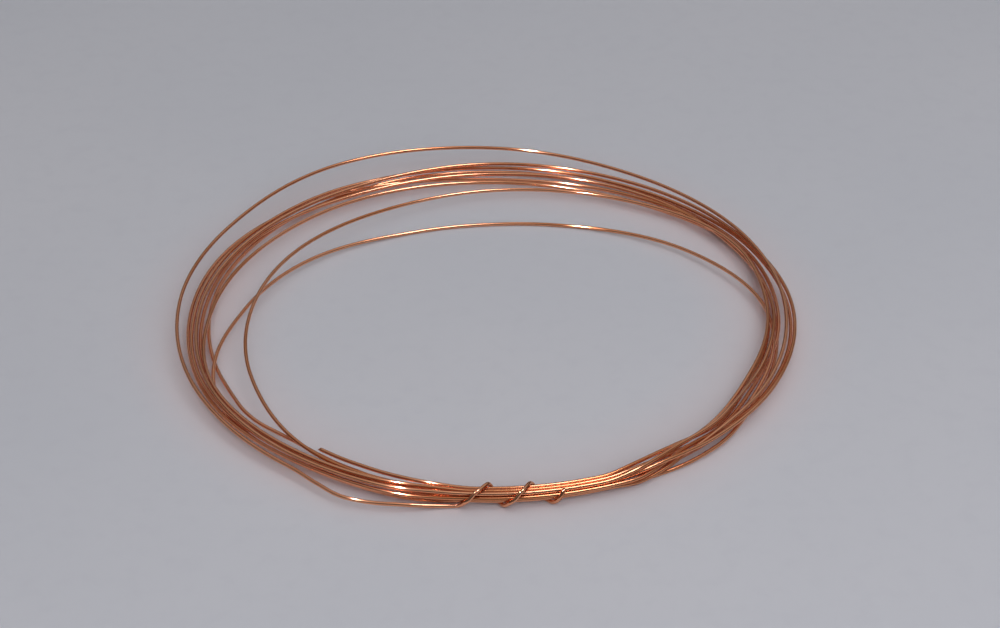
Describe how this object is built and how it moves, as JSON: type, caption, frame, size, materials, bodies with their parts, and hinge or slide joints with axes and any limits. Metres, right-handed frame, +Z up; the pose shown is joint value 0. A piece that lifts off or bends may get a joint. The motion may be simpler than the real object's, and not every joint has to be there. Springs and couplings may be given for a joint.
{
  "type": "coil of bare copper wire",
  "caption": "Hand-wound hoop of bare copper wire, loosely bundled and bound at one side by its own end.",
  "frame": {"origin": "on the table, under the middle of the coil's outline", "axes": "+Z up from the table, square to the hoop; -Y from the middle of the hoop towards the tie; +X to the right when the tie is nearest the viewer"},
  "size_m": [0.1056, 0.1098, 0.0039],
  "materials": {
    "bare_copper": null
  },
  "bodies": {
    "root": {"copper_wire": "bare_copper"}
  },
  "joints": []
}
